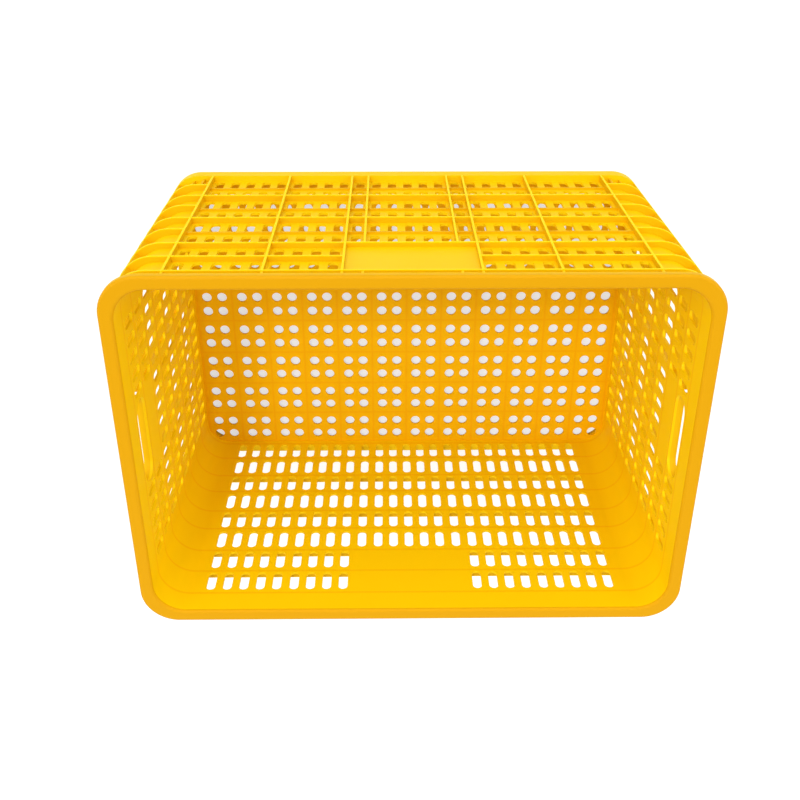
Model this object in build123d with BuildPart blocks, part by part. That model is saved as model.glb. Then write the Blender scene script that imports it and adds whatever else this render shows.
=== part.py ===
from build123d import *

import math
import os

# Stacking crate: an open, perforated, injection-moulded box, in millimetres.
#
# The crate stands on its base ring with its mouth up.  The origin is the middle of its
# footprint on the ground, +X runs along its length, +Y across it and +Z up.  The real crate
# is one moulding, so its members are modelled as separate solids that meet face to face.

os.makedirs("parts", exist_ok=True)

# ---- Driving dimensions ------------------------------------------------------------------
HEIGHT = 379.0
WALL = 3.0                               # thickness of the walls and the floor
RIB = 2.5                                # thickness of every rib
REACH = 1000.0                           # longer than anything it trims

# Outlines: length, width and corner radius on the ground, and how far each side leans out
# on its way up to the rim.
INSIDE = (572.4, 384.2, 30.0, 4.1)
RIB_FACE = (602.4, 406.8, 40.0, 1.6)
RIM = (610.0, 421.0, 41.0)

# Heights of the horizontal ribs' top faces.
FLOOR_TOP = 11.0
FOOT_TOP = 20.0
FOOT_EDGE = 2.0                          # rounding of the foot ring's bottom edge
TALL_BAY = 83.0                          # two rows of slots with a low rib between them
SHORT_BAY = 40.0                         # one row of slots
TALL_HOOPS = [102.5 + bay * TALL_BAY for bay in range(3)]
UPPER_HOOP = TALL_HOOPS[-1] + SHORT_BAY
TOP_HOOP = UPPER_HOOP + SHORT_BAY
LOW_RIB_DROP = 44.5                      # from a tall bay's top rib down to its low rib
LOW_HOOPS = [hoop - LOW_RIB_DROP for hoop in TALL_HOOPS]
LOW_RIB_DEPTH = 2.8

# Rim: a flat top flange with a lip turned down round it.
RIM_FLANGE = 3.5
RIM_LIP_DEPTH = 9.0
RIM_LIP = 3.0
RIM_EDGE = 3.0                           # rounding of the rim's outer and inner edges
RIM_UNDERSIDE = HEIGHT - RIM_FLANGE
GUSSET_SETBACK = 1.0                     # rim gussets stop this far inside the ribs' face

# Ventilation slots, in rows up the walls.
SLOT_WIDTH = 10.5
SLOT_HEIGHT = 32.0
SHORT_SLOT_HEIGHT = 30.8
SLOT_SILL = 2.0                          # from a rib's top face up to the slots above it
LOW_RIB_SILL = 5.0                       # the same over a low rib
ROW_DROPS = [
    TALL_BAY - SLOT_SILL - SLOT_HEIGHT / 2,
    LOW_RIB_DROP - LOW_RIB_SILL - SLOT_HEIGHT / 2,
]
SHORT_DROP = SHORT_BAY - SLOT_SILL - SHORT_SLOT_HEIGHT / 2
TALL_ROWS = [hoop - drop for hoop in TALL_HOOPS for drop in ROW_DROPS]
SHORT_ROWS = [hoop - SHORT_DROP for hoop in (UPPER_HOOP, TOP_HOOP)]

# Slot columns: groups between the uprights, with a wider gap over each upright.
SIDE_GROUPS = (5, 4, 1, 5, 1, 4, 5)
SIDE_PITCH, SIDE_GAP = 19.29, 20.34
END_GROUPS = (5, 5, 5)
END_PITCH, END_GAP = 19.87, 22.3

# Floor: square groups of four drain holes, and ribs underneath.
HOLE_DIAMETER = 13.0
HOLE_PITCH = 20.4
GROUPS_ALONG, GROUPS_ACROSS = 12, 8
GROUP_PITCH_X, GROUP_PITCH_Y = 47.2, 48.0
FLOOR_RIB_FOOT = 2.0
EDGE_RIB = 3.5
EDGE_RIB_RADIUS = 26.5

# Handholds in the end walls, and the plain label fields in the side walls.
GRIP_LENGTH = 101.0
GRIP_HEIGHT = 35.0
GRIP_COLLAR = 2.5
GRIP_DEPTH = 7.0                         # how far the collar stands out from the wall
GRIP_MIDDLE = UPPER_HOOP + GRIP_HEIGHT / 2
LABEL_PROUD = 1.0

# Corners: one upright web at the middle of each, and short fins above the foot.
CORNER_AT = (RIB_FACE[0] / 2 - RIB_FACE[2], RIB_FACE[1] / 2 - RIB_FACE[2])
WEB_ANGLE = 45.0
FIN_ANGLES = (13.0, 36.0, 54.0, 77.0)
FIN_LEAD = 5.0                           # the first fin stands this far before the curve
FIN_DEPTH = 4.0
FIN_TOP = LOW_HOOPS[0] - RIB


# ---- Shapes shared by the members ----------------------------------------------------------
def grown(outline, depth):
    """An outline moved outwards all round."""
    length, width, radius, lean = outline
    return (length + 2 * depth, width + 2 * depth, radius + depth, lean)


def tapered(outline, low, high):
    """A solid between two heights, whose sides follow a leaning outline."""
    lean = outline[3] / HEIGHT
    length, width, radius, _ = grown(outline, lean * low)
    with BuildPart() as block:
        with BuildSketch(Plane.XY.offset(low)):
            RectangleRounded(length, width, radius)
        extrude(amount=high - low, taper=-math.degrees(math.atan(lean)))
    return block.part


def band(outer, inner, low, high):
    """A hoop between two leaning outlines, over a range of heights."""
    with BuildPart() as hoop:
        add(tapered(outer, low, high))
        add(tapered(inner, low, high), mode=Mode.SUBTRACT)
    return hoop.part


def region(x_span, y_span, low, high):
    """A plain block between two limits on each axis, used to trim a member."""
    middle = ((x_span[0] + x_span[1]) / 2, (y_span[0] + y_span[1]) / 2)
    with BuildPart() as block:
        with BuildSketch(Plane.XY.offset(low)):
            with Locations(middle):
                Rectangle(x_span[1] - x_span[0], y_span[1] - y_span[0])
        extrude(amount=high - low)
    return block.part


def columns(groups, pitch, gap):
    """Places of the slots along a wall, and of the uprights between their groups."""
    places, uprights, place = [], [-gap / 2], 0.0
    for group in groups:
        for _ in range(group):
            places.append(place)
            place += pitch
        place += gap - pitch
        uprights.append(place - gap / 2)
    middle = (places[0] + places[-1]) / 2
    return [p - middle for p in places], [u - middle for u in uprights]


def trimmed(member, space):
    """The part of a member that lies in one wall's or corner's space."""
    with BuildPart() as piece:
        add(member)
        add(space, mode=Mode.INTERSECT)
    return piece


def save(node, name):
    node.part.label = name
    export_step(node.part, f"parts/{name}.step")


OUTSIDE = grown(INSIDE, WALL)
SIDE_COLUMNS, SIDE_UPRIGHTS = columns(SIDE_GROUPS, SIDE_PITCH, SIDE_GAP)
END_COLUMNS, END_UPRIGHTS = columns(END_GROUPS, END_PITCH, END_GAP)
SIDE_LIMIT = SIDE_UPRIGHTS[-1] + RIB / 2         # where the side walls end
END_LIMIT = END_UPRIGHTS[-1] + RIB / 2           # where the end walls end
LABEL_LIMIT = SIDE_UPRIGHTS[-3]                  # half length of a label field
GRIP_LIMIT = END_UPRIGHTS[-2]                    # half width of the bay round a handhold
GRIP_BAY = GRIP_LIMIT - RIB / 2                  # the ribs stop there, over the uprights

# The space of each wall and each corner, for trimming what runs all round the crate.
WALLS = {
    "front": region((-SIDE_LIMIT, SIDE_LIMIT), (-REACH, 0), 0, HEIGHT),
    "back": region((-SIDE_LIMIT, SIDE_LIMIT), (0, REACH), 0, HEIGHT),
    "left": region((-REACH, 0), (-END_LIMIT, END_LIMIT), 0, HEIGHT),
    "right": region((0, REACH), (-END_LIMIT, END_LIMIT), 0, HEIGHT),
}
CORNERS = {
    "front_left": (-1, -1),
    "front_right": (1, -1),
    "back_left": (-1, 1),
    "back_right": (1, 1),
}
CORNER_SPACES = {
    name: region(sorted((end * SIDE_LIMIT, end * REACH)),
                 sorted((side * END_LIMIT, side * REACH)), 0, HEIGHT)
    for name, (end, side) in CORNERS.items()
}
SIDES = ("front", "back")

# ---- Floor: a flat panel with groups of four drain holes -------------------------------------
with BuildPart() as floor_panel:
    add(tapered(INSIDE, FLOOR_TOP - WALL, FLOOR_TOP))
    with BuildSketch(Plane.XY.offset(FLOOR_TOP)):
        with GridLocations(GROUP_PITCH_X, GROUP_PITCH_Y, GROUPS_ALONG, GROUPS_ACROSS):
            with GridLocations(HOLE_PITCH, HOLE_PITCH, 2, 2):
                Circle(HOLE_DIAMETER / 2)
    extrude(amount=-WALL, mode=Mode.SUBTRACT)
save(floor_panel, "floor_panel")

# Ribs under the floor, between the groups of holes, and one along its edge.
with BuildPart() as floor_ribs:
    with BuildSketch(Plane.XY.offset(FLOOR_RIB_FOOT)):
        Rectangle(REACH, REACH)
        RectangleRounded(INSIDE[0] - 2 * EDGE_RIB, INSIDE[1] - 2 * EDGE_RIB,
                         EDGE_RIB_RADIUS, mode=Mode.SUBTRACT)
        with GridLocations(GROUP_PITCH_X, 0, GROUPS_ALONG - 1, 1):
            Rectangle(RIB, REACH)
        with GridLocations(0, GROUP_PITCH_Y, 1, GROUPS_ACROSS - 1):
            Rectangle(REACH, RIB)
    extrude(amount=FLOOR_TOP - WALL - FLOOR_RIB_FOOT)
    add(tapered(INSIDE, FLOOR_RIB_FOOT, FLOOR_TOP - WALL), mode=Mode.INTERSECT)
save(floor_ribs, "floor_ribs")

# ---- Walls, with rows of upright slots ---------------------------------------------------------
wall_ring = band(OUTSIDE, INSIDE, 0, RIM_UNDERSIDE)

with BuildPart() as side_slots:
    with BuildSketch(Plane.XZ):
        with Locations(*[(x, z) for x in SIDE_COLUMNS for z in TALL_ROWS]):
            SlotOverall(SLOT_HEIGHT, SLOT_WIDTH, rotation=90)
        with Locations(*[(x, z) for x in SIDE_COLUMNS if abs(x) > LABEL_LIMIT for z in SHORT_ROWS]):
            SlotOverall(SHORT_SLOT_HEIGHT, SLOT_WIDTH, rotation=90)
    extrude(amount=REACH, both=True)

with BuildPart() as end_slots:
    with BuildSketch(Plane.YZ):
        with Locations(*[(y, z) for y in END_COLUMNS for z in TALL_ROWS]):
            SlotOverall(SLOT_HEIGHT, SLOT_WIDTH, rotation=90)
        with Locations(*[(y, z) for y in END_COLUMNS if abs(y) > GRIP_LIMIT for z in SHORT_ROWS]):
            SlotOverall(SHORT_SLOT_HEIGHT, SLOT_WIDTH, rotation=90)
        with Locations((0, GRIP_MIDDLE)):
            SlotOverall(GRIP_LENGTH, GRIP_HEIGHT)
    extrude(amount=REACH, both=True)

for wall, space in WALLS.items():
    with BuildPart() as pierced_wall:
        add(wall_ring)
        add(space, mode=Mode.INTERSECT)
        add(side_slots.part if wall in SIDES else end_slots.part, mode=Mode.SUBTRACT)
    save(pierced_wall, f"{wall}_wall")

# ---- Ribs outside the walls ----------------------------------------------------------------------
rib_space = band(RIB_FACE, OUTSIDE, FOOT_TOP, TOP_HOOP)
low_rib_space = band(grown(OUTSIDE, LOW_RIB_DEPTH), OUTSIDE, FOOT_TOP, TOP_HOOP)
label_space = band(grown(OUTSIDE, LABEL_PROUD), OUTSIDE, TALL_HOOPS[-1], TOP_HOOP - RIB)
gusset_space = band(grown(RIB_FACE, -GUSSET_SETBACK), OUTSIDE, TOP_HOOP, RIM_UNDERSIDE)
collar_space = band(grown(OUTSIDE, GRIP_DEPTH), OUTSIDE, TALL_HOOPS[-1], TOP_HOOP)
label_bay = region((-LABEL_LIMIT, LABEL_LIMIT), (-REACH, REACH), TALL_HOOPS[-1], TOP_HOOP - RIB)
grip_bay = region((-REACH, REACH), (-GRIP_BAY, GRIP_BAY), TALL_HOOPS[-1], TOP_HOOP - RIB)


def slabs(tops):
    """Flat slabs right across the crate, one under each height."""
    with BuildPart() as layers:
        for top in tops:
            add(region((-REACH, REACH), (-REACH, REACH), top - RIB, top))
    return layers.part


def upright_plates(wall, low, middle_top, top):
    """Plates square to a wall at its uprights, of which the middle two may stop lower."""
    across = (-REACH, REACH)
    places = SIDE_UPRIGHTS if wall in SIDES else END_UPRIGHTS
    middle = (len(places) // 2 - 1, len(places) // 2)
    with BuildPart() as plates:
        for number, place in enumerate(places):
            thickness = (place - RIB / 2, place + RIB / 2)
            spans = (thickness, across) if wall in SIDES else (across, thickness)
            add(region(*spans, low, middle_top if number in middle else top))
    return plates.part


hoop_slabs = slabs(TALL_HOOPS + [UPPER_HOOP, TOP_HOOP])
low_slabs = slabs(LOW_HOOPS)

with BuildPart() as collar_block:
    with BuildSketch(Plane.YZ):
        with Locations((0, GRIP_MIDDLE)):
            SlotOverall(GRIP_LENGTH + 2 * GRIP_COLLAR, GRIP_HEIGHT + 2 * GRIP_COLLAR)
    extrude(amount=REACH, both=True)

for wall, space in WALLS.items():
    # The middle uprights stop under the label field, or under the rib below the handhold.
    middle_top = (TALL_HOOPS[-1] if wall in SIDES else UPPER_HOOP) - RIB
    plates = upright_plates(wall, FOOT_TOP, middle_top, TOP_HOOP - RIB)

    with BuildPart() as uprights:
        add(rib_space)
        add(space, mode=Mode.INTERSECT)
        add(plates, mode=Mode.INTERSECT)
    save(uprights, f"{wall}_uprights")

    with BuildPart() as cross_ribs:
        add(rib_space)
        add(space, mode=Mode.INTERSECT)
        add(hoop_slabs, mode=Mode.INTERSECT)
        add(plates, mode=Mode.SUBTRACT)
        add(label_bay if wall in SIDES else grip_bay, mode=Mode.SUBTRACT)
    save(cross_ribs, f"{wall}_cross_ribs")

    with BuildPart() as low_ribs:
        add(low_rib_space)
        add(space, mode=Mode.INTERSECT)
        add(low_slabs, mode=Mode.INTERSECT)
        add(plates, mode=Mode.SUBTRACT)
    save(low_ribs, f"{wall}_low_ribs")

    # Small gussets carry each upright's line on up to the rim.
    with BuildPart() as gussets:
        add(gusset_space)
        add(space, mode=Mode.INTERSECT)
        add(upright_plates(wall, TOP_HOOP, RIM_UNDERSIDE, RIM_UNDERSIDE), mode=Mode.INTERSECT)
    save(gussets, f"{wall}_rim_gussets")

    if wall in SIDES:
        with BuildPart() as label_field:
            add(label_space)
            add(space, mode=Mode.INTERSECT)
            add(label_bay, mode=Mode.INTERSECT)
            add(plates, mode=Mode.SUBTRACT)
        save(label_field, f"{wall}_label_field")
    else:
        with BuildPart() as collar:
            add(collar_space)
            add(space, mode=Mode.INTERSECT)
            add(collar_block.part, mode=Mode.INTERSECT)
            add(end_slots.part, mode=Mode.SUBTRACT)
        save(collar, f"{wall}_handhold_collar")

# ---- Corners: a curved wall, and ribs that carry on round it ---------------------------------------
fin_space = band(grown(OUTSIDE, FIN_DEPTH), OUTSIDE, FOOT_TOP, FIN_TOP)


def radial_plates(end, side, angles, high):
    """Upright plates that point out of a corner, at angles from the crate's length."""
    with BuildPart() as plates:
        for angle in angles:
            with BuildSketch(Plane.XY.offset(FOOT_TOP)):
                with Locations((end * CORNER_AT[0], side * CORNER_AT[1])):
                    Rectangle(REACH, RIB, rotation=end * side * angle)
            extrude(amount=high - FOOT_TOP)
    return plates.part


def lead_fins(end, side):
    """The fins just before the curve, square to the end wall and to the side wall."""
    with BuildPart() as plates:
        with BuildSketch(Plane.XY.offset(FOOT_TOP)):
            with Locations((end * (CORNER_AT[0] - FIN_LEAD), side * REACH / 2)):
                Rectangle(RIB, REACH)
            with Locations((end * REACH / 2, side * (CORNER_AT[1] - FIN_LEAD))):
                Rectangle(REACH, RIB)
        extrude(amount=FIN_TOP - FOOT_TOP)
    return plates.part


for corner, (end, side) in CORNERS.items():
    space = CORNER_SPACES[corner]
    save(trimmed(wall_ring, space), f"{corner}_corner_wall")

    with BuildPart() as layers:
        add(hoop_slabs)
        add(low_slabs)
        add(radial_plates(end, side, [WEB_ANGLE], TOP_HOOP))

    with BuildPart() as fins:
        add(radial_plates(end, side, FIN_ANGLES, FIN_TOP))
        add(lead_fins(end, side))
        add(fin_space, mode=Mode.INTERSECT)

    with BuildPart() as corner_ribs:
        add(rib_space)
        add(layers.part, mode=Mode.INTERSECT)
        add(fins.part)
        add(space, mode=Mode.INTERSECT)
    save(corner_ribs, f"{corner}_corner_ribs")

# ---- Foot ring: a channel round the base that stands on the rim of a crate below --------------------
with BuildPart() as foot_ring:
    add(band(RIB_FACE, OUTSIDE, 0, FOOT_TOP))
    fillet(foot_ring.faces().sort_by(Axis.Z)[0].outer_wire().edges(), radius=FOOT_EDGE)
    add(band(grown(RIB_FACE, -RIB), OUTSIDE, 0, FOOT_TOP - RIB), mode=Mode.SUBTRACT)

# ---- Rim: the next crate's foot ring rests on its flat top ------------------------------------------
with BuildPart() as rim:
    with BuildSketch(Plane.XY.offset(HEIGHT)):
        RectangleRounded(*RIM)
    extrude(amount=-RIM_LIP_DEPTH)
    with BuildSketch(Plane.XY.offset(RIM_UNDERSIDE)):
        RectangleRounded(RIM[0] - 2 * RIM_LIP, RIM[1] - 2 * RIM_LIP, RIM[2] - RIM_LIP)
    extrude(amount=-RIM_LIP_DEPTH, mode=Mode.SUBTRACT)
    add(tapered(INSIDE, RIM_UNDERSIDE, HEIGHT), mode=Mode.SUBTRACT)
    fillet(rim.faces().sort_by(Axis.Z)[-1].edges(), radius=RIM_EDGE)

for wall, space in WALLS.items():
    save(trimmed(foot_ring.part, space), f"{wall}_foot_rail")
    save(trimmed(rim.part, space), f"{wall}_rim")

for corner, space in CORNER_SPACES.items():
    save(trimmed(foot_ring.part, space), f"{corner}_corner_foot")
    save(trimmed(rim.part, space), f"{corner}_corner_rim")
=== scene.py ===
import math

import bpy
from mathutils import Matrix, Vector


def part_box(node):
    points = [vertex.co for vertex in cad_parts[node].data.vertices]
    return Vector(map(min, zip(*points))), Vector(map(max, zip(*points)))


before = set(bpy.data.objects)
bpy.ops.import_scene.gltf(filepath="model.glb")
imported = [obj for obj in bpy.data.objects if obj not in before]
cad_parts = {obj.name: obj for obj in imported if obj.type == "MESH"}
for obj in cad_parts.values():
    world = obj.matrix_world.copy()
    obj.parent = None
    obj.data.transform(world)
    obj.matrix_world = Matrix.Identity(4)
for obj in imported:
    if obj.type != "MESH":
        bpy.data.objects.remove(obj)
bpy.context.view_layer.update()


# ---- Floor panel and the ribs under it ----------------------------------------------------
# The crate is one injection moulding in pigmented polyethylene, with a grid of ribs under
# its floor.  A polished steel tool leaves a smooth satin skin with faint flow marks.  The floor
# is painted darker than the walls, as shade, and painted shade lines lie where a rib behind
# it keeps light from coming through the plastic.
class Value:
    """A number that varies over a surface, with arithmetic that adds Math nodes."""

    def __init__(self, shader, socket):
        self.shader = shader
        self.socket = socket

    def maths(self, operation, *values, clamped=False):
        settings = {"operation": operation, "use_clamp": clamped}
        return self.shader.value("ShaderNodeMath", settings, dict(enumerate(values)))

    def __add__(self, other):
        return self.maths("ADD", self, other)

    def __sub__(self, other):
        return self.maths("SUBTRACT", self, other)

    def __rsub__(self, other):
        return self.maths("SUBTRACT", other, self)

    def __mul__(self, other):
        return self.maths("MULTIPLY", self, other)

    def __truediv__(self, other):
        return self.maths("DIVIDE", self, other)

    def __abs__(self):
        return self.maths("ABSOLUTE", self)

    __radd__ = __add__
    __rmul__ = __mul__

    def at_least(self, other):
        return self.maths("MAXIMUM", self, other)

    def below(self, other):
        return self.maths("LESS_THAN", self, other)

    def root(self):
        return self.maths("SQRT", self)

    def from_nearest(self, spacing):
        """How far the number is from the nearest whole multiple of a spacing."""
        return self.maths("PINGPONG", self, spacing / 2)

    def fade(self, width):
        """1 where the number is 0, falling to 0 where it is a width away from it."""
        return self.maths("SUBTRACT", 1.0, abs(self) / width, clamped=True)


class Shader:
    """A node tree, with one way to add a node."""

    def __init__(self, owner):
        owner.use_nodes = True
        self.tree = owner.node_tree
        self.tree.nodes.clear()

    def node(self, kind, settings=None, sockets=None):
        node = self.tree.nodes.new(kind)
        for setting, value in (settings or {}).items():
            setattr(node, setting, value)
        for socket, value in (sockets or {}).items():
            value = getattr(value, "socket", value)
            if isinstance(value, bpy.types.NodeSocket):
                self.tree.links.new(value, node.inputs[socket])
            else:
                node.inputs[socket].default_value = value
        return node

    def value(self, kind, settings=None, sockets=None, output=0):
        return Value(self, self.node(kind, settings, sockets).outputs[output])


FLOW_SCALE = 14.0                        # flow marks, about 70 mm across
FLOW_DETAIL = 3.0
FLOW_TINT = 0.10                         # how much they change the colour and the roughness
SKIN_SCALE = 700.0                       # the tool's fine polish
SKIN_DETAIL = 2.0
SKIN_DEPTH = 0.0002
SKIN_STRENGTH = 0.15
SATIN = 0.46                             # roughness between the flow marks
GLOSS = 0.10                             # the skin mirrors little
PLASTIC_IOR = 1.5


def moulded_plastic(name, yellow, painted_light_colour, painted_light_mask):
    """The crate's plastic.  It turns to a painted shade or highlight colour as far as the mask
    says.
    """
    material = bpy.data.materials.new(name)
    shader = Shader(material)
    place = shader.value("ShaderNodeTexCoord", output="Object")
    split = shader.node("ShaderNodeSeparateXYZ", None, {"Vector": place})
    x, y, z = (Value(shader, split.outputs[axis]) for axis in range(3))
    flow = shader.value("ShaderNodeTexNoise", None,
                        {"Vector": place, "Scale": FLOW_SCALE, "Detail": FLOW_DETAIL})
    skin = shader.value("ShaderNodeTexNoise", None,
                        {"Vector": place, "Scale": SKIN_SCALE, "Detail": SKIN_DETAIL})
    # Painted shade or highlight: the mask turns the yellow towards its painted colour, and the
    # flow marks tint it a little at random.
    colour = shader.value("ShaderNodeMix", {"data_type": "RGBA"},
                          {"Factor": painted_light_mask(x, y, z) + FLOW_TINT * flow, "A": yellow, "B": painted_light_colour},
                          output="Result")
    relief = shader.value("ShaderNodeBump", None, {
        "Height": skin,
        "Strength": SKIN_STRENGTH,
        "Distance": SKIN_DEPTH,
    })
    plastic = shader.value("ShaderNodeBsdfPrincipled", None, {
        "Base Color": colour,
        "Roughness": SATIN + FLOW_TINT * flow,
        "IOR": PLASTIC_IOR,
        "Specular IOR Level": GLOSS,
        "Normal": relief,
    })
    shader.node("ShaderNodeOutputMaterial", None, {"Surface": plastic})
    return material


def coat(material, *endings):
    """Give a material to every member whose name ends in one of these ways."""
    for name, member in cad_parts.items():
        if name.endswith(endings):
            member.data.materials.clear()
            member.data.materials.append(material)


# The floor's yellow is painted darker than the walls', as shade where the ground lets no light
# come through it.
SHADED_FLOOR_YELLOW = (0.87, 0.495, 0.0, 1.0)
# Painted shade where a rib behind a face keeps light from coming through the plastic; the flow
# marks also tint towards this colour.
PAINTED_RIB_SHADE_AND_FLOW_TONE = (0.84, 0.38, 0.0, 1.0)       # where a rib stands behind a face
RIB_LINE = 0.0022                        # half width of the line over a rib
FLOOR_LINE = 0.55                        # how deep the floor's lines are
FLOOR_BAYS = (0.0472, 0.048)             # spacing of the ribs under the floor


def floor_rib_shade(x, y, z):
    """Painted shade lines over the ribs, which cross at the crate's middle and repeat from
    there.
    """
    across, along = (axis.from_nearest(bay).fade(RIB_LINE)
                     for axis, bay in zip((x, y), FLOOR_BAYS))
    return FLOOR_LINE * across.at_least(along)


coat(moulded_plastic("floor_plastic", SHADED_FLOOR_YELLOW, PAINTED_RIB_SHADE_AND_FLOW_TONE, floor_rib_shade),
     "floor_panel", "floor_ribs")

# ---- Walls, with their corners ------------------------------------------------------------
# Four thin tapered walls, moulded with the floor and joined by curved corners.  Their yellow
# is painted bright for light coming through them, with a painted shade line along each rib
# outside, where the rib keeps that light out.
# Painted bright, for light coming through the walls.
PAINTED_LIT_WALL_YELLOW = (0.91, 0.61, 0.0, 1.0)
WALL_LINE = 0.5                          # how deep the walls' lines are
TALL_BAY = 0.083                         # one full-depth rib and one shallow rib to a bay
LOWEST_RIBS = (0.01825, 0.05675)         # their heights in the lowest bay
TALL_BAYS_TOP = 0.2745
UPPER_RIBS = (0.30725, 0.34725)


def wall_rib_shade(x, y, z):
    """Painted shade lines along the ribs: two to a tall bay, and one for each of the upper ribs.
    """
    within = z.below(TALL_BAYS_TOP)
    lines = 0.0 * z
    for height in LOWEST_RIBS:
        line = (z - height).from_nearest(TALL_BAY).fade(RIB_LINE)
        lines = lines.at_least(line * within)
    for height in UPPER_RIBS:
        lines = lines.at_least((z - height).fade(RIB_LINE))
    return WALL_LINE * lines


coat(moulded_plastic("wall_plastic", PAINTED_LIT_WALL_YELLOW, PAINTED_RIB_SHADE_AND_FLOW_TONE, wall_rib_shade), "_wall")

# ---- Ribs outside the walls -----------------------------------------------------------------
# Thin ribs, moulded square to the walls, stiffen them and carry the load of a stack down.
# Their faces are painted darker than the walls, as shade, and their thin outer edges carry a
# painted highlight.
# Painted shade on the ribs' faces.
SHADED_RIB_YELLOW = (0.80, 0.45, 0.0, 1.0)
# Painted highlight on the ribs' thin outer edges.
PAINTED_EDGE_HIGHLIGHT = (0.98, 0.74, 0.0, 1.0)
EDGE_HIGHLIGHT_DEPTH = 0.0012                      # how far the bright edge runs back from the face
RIB_RADIUS = 0.040                       # corner radius of the ribs' outline on the ground
CRATE_HEIGHT = 0.379
RIB_LEAN = 0.0016 / CRATE_HEIGHT         # how the outline grows with height
CORNER_AT = (0.2612, 0.1634)             # middle of that corner radius


def edge_highlight(x, y, z):
    """Painted highlight: 1 on the leaning outline that the ribs' outer edges follow, and 0
    behind it.
    """
    across = (abs(x) - CORNER_AT[0]).at_least(0.0)
    along = (abs(y) - CORNER_AT[1]).at_least(0.0)
    reach = (across * across + along * along).root()
    return (reach - RIB_RADIUS - RIB_LEAN * z).fade(EDGE_HIGHLIGHT_DEPTH)


coat(moulded_plastic("rib_plastic", SHADED_RIB_YELLOW, PAINTED_EDGE_HIGHLIGHT, edge_highlight),
     "_uprights", "_cross_ribs", "_low_ribs", "_corner_ribs")


# ---- Plain panels, handhold collars, rim gussets and foot ring ------------------------------
# Raised fields for a label in the long walls, a collar that thickens each handhold, the
# nubs under the rim and the channel that the crate stands on, all moulded with the walls.
def evenly(x, y, z):
    """No painted shade or highlight; only the flow marks."""
    return 0.0 * z


# The panels take the walls' painted bright yellow, with no painted lines.
coat(moulded_plastic("panel_plastic", PAINTED_LIT_WALL_YELLOW, PAINTED_RIB_SHADE_AND_FLOW_TONE, evenly),
     "_label_field", "_gussets", "_foot_rail", "_corner_foot")
# The collars take the ribs' yellow, painted darker as shade.
coat(moulded_plastic("collar_plastic", SHADED_RIB_YELLOW, PAINTED_RIB_SHADE_AND_FLOW_TONE, evenly), "_handhold_collar")

# ---- Rim ------------------------------------------------------------------------------------
# A flat flange with a lip turned down round it, where the next crate stands.  The flange is
# the thickest part and is painted the deepest yellow, as shade, which fades to a painted
# lighter yellow at the lip's free edge.
# Painted shade on the flange, fading to the lip's painted lighter yellow.
SHADED_FLANGE_YELLOW = (0.69, 0.33, 0.0, 1.0)
LIT_LIP_YELLOW = (0.88, 0.54, 0.0, 1.0)
lip_foot, flange_top = (corner[2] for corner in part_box("back_rim"))


def flange(x, y, z):
    """How deep the painted shade is: 1 at the flange's top face, falling to 0 at the lip's free
    edge.
    """
    return (flange_top - z).fade(flange_top - lip_foot)


coat(moulded_plastic("rim_plastic", LIT_LIP_YELLOW, SHADED_FLANGE_YELLOW, flange), "_rim")

# ---- Ground and surround --------------------------------------------------------------------
# A plain white ground that keeps the crate's shadow, and a white surround behind it.  Both
# are white only where they are looked at or mirrored, and light the crate plainly.
GROUND_SIZE = 12.0
GROUND_DROP = 0.0005                     # just under the foot ring
bpy.ops.object.select_all(action="DESELECT")
bpy.ops.mesh.primitive_plane_add(size=GROUND_SIZE, location=(0.0, 0.0, -GROUND_DROP))
ground = bpy.context.object
ground.name = "ground"

WHITE = (1.0, 1.0, 1.0, 1.0)
GROUND_GREY = (0.5, 0.5, 0.5, 1.0)
GROUND_LIFT = 0.62
SURROUND_LIGHT = 0.40


def looked_at(shader):
    """1 for a ray from the camera, a mirror or a glass, and 0 for one that only lights."""
    rays = shader.node("ShaderNodeLightPath")
    kinds = [Value(shader, rays.outputs[kind])
             for kind in ("Is Camera Ray", "Is Glossy Ray", "Is Transmission Ray")]
    return kinds[0].at_least(kinds[1]).at_least(kinds[2])


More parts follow.
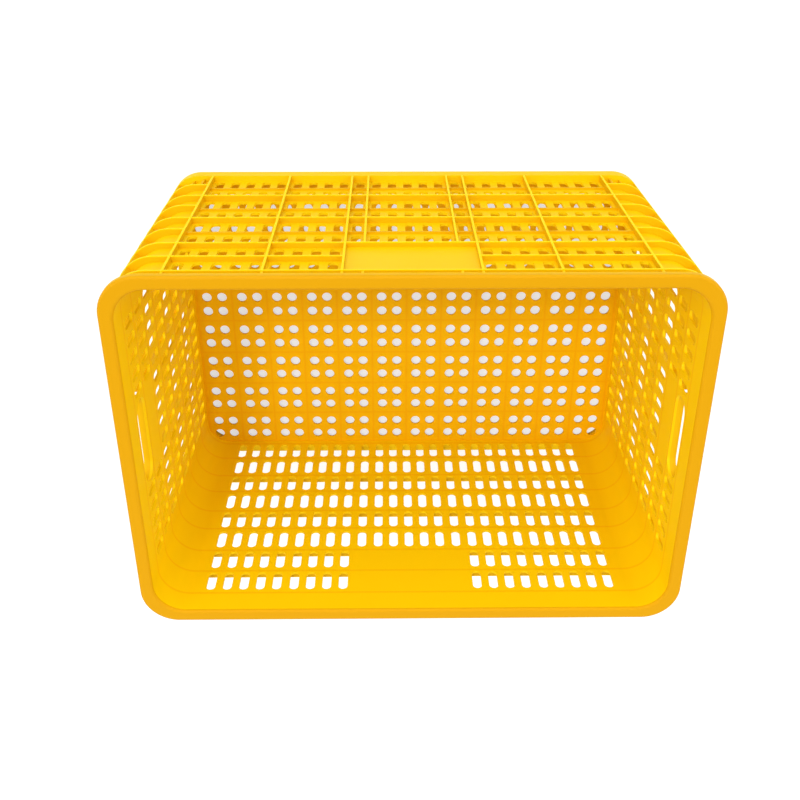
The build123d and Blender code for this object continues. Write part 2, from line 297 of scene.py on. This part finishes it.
white = bpy.data.materials.new("white_ground")
shader = Shader(white)
matte = shader.value("ShaderNodeBsdfDiffuse", None, {"Color": GROUND_GREY})
lift = shader.value("ShaderNodeEmission", None, {"Color": WHITE, "Strength": GROUND_LIFT})
lifted = shader.value("ShaderNodeAddShader", None, {0: lift, 1: matte})
shown = shader.value("ShaderNodeMixShader", None, {0: looked_at(shader), 1: matte, 2: lifted})
shader.node("ShaderNodeOutputMaterial", None, {"Surface": shown})
ground.data.materials.append(white)

surround = bpy.data.worlds.new("surround")
bpy.context.scene.world = surround
shader = Shader(surround)
dim = shader.value("ShaderNodeBackground", None, {"Color": WHITE, "Strength": SURROUND_LIGHT})
bright = shader.value("ShaderNodeBackground", None, {"Color": WHITE, "Strength": 1.0})
shown = shader.value("ShaderNodeMixShader", None, {0: looked_at(shader), 1: dim, 2: bright})
shader.node("ShaderNodeOutputWorld", None, {"Surface": shown})

# ---- Lamps ----------------------------------------------------------------------------------
# One small lamp by the viewer, for the soft shadow, and four wide soft ones, one from each
# side, so that no wall is left dark inside or out.
LAMPS = {                                # strength, width in degrees, and where it shines from
    "viewer_lamp": (0.70, 10, (-0.35, 0.75, 1.5)),
    "back_lamp": (1.25, 60, (0.0, 1.0, 0.35)),
    "front_lamp": (0.80, 60, (0.0, -1.0, 0.35)),
    "left_lamp": (1.35, 60, (-1.0, 0.2, 0.7)),
    "right_lamp": (1.35, 60, (1.0, 0.2, 0.7)),
}
for name, (strength, width, place) in LAMPS.items():
    turn = Vector(place).to_track_quat("Z", "Y").to_euler()
    bpy.ops.object.light_add(type="SUN", location=place, rotation=turn)
    lamp = bpy.context.object
    lamp.name = name
    lamp.data.energy = strength
    lamp.data.angle = math.radians(width)

# ---- Camera ---------------------------------------------------------------------------------
# It stands over the crate's long side and looks down into its mouth.
VIEW_FROM = (-0.0221, 0.5629, 1.2653)
VIEW_TURN = (-0.5015, -0.0102, 0.0007)
LENS, SENSOR = 45.06, 36.0               # in millimetres
bpy.ops.object.camera_add(location=VIEW_FROM, rotation=VIEW_TURN)
viewer = bpy.context.object
viewer.data.lens = LENS
viewer.data.sensor_width = SENSOR
viewer.data.dof.use_dof = False
bpy.context.scene.camera = viewer
bpy.context.scene.view_settings.view_transform = "Standard"
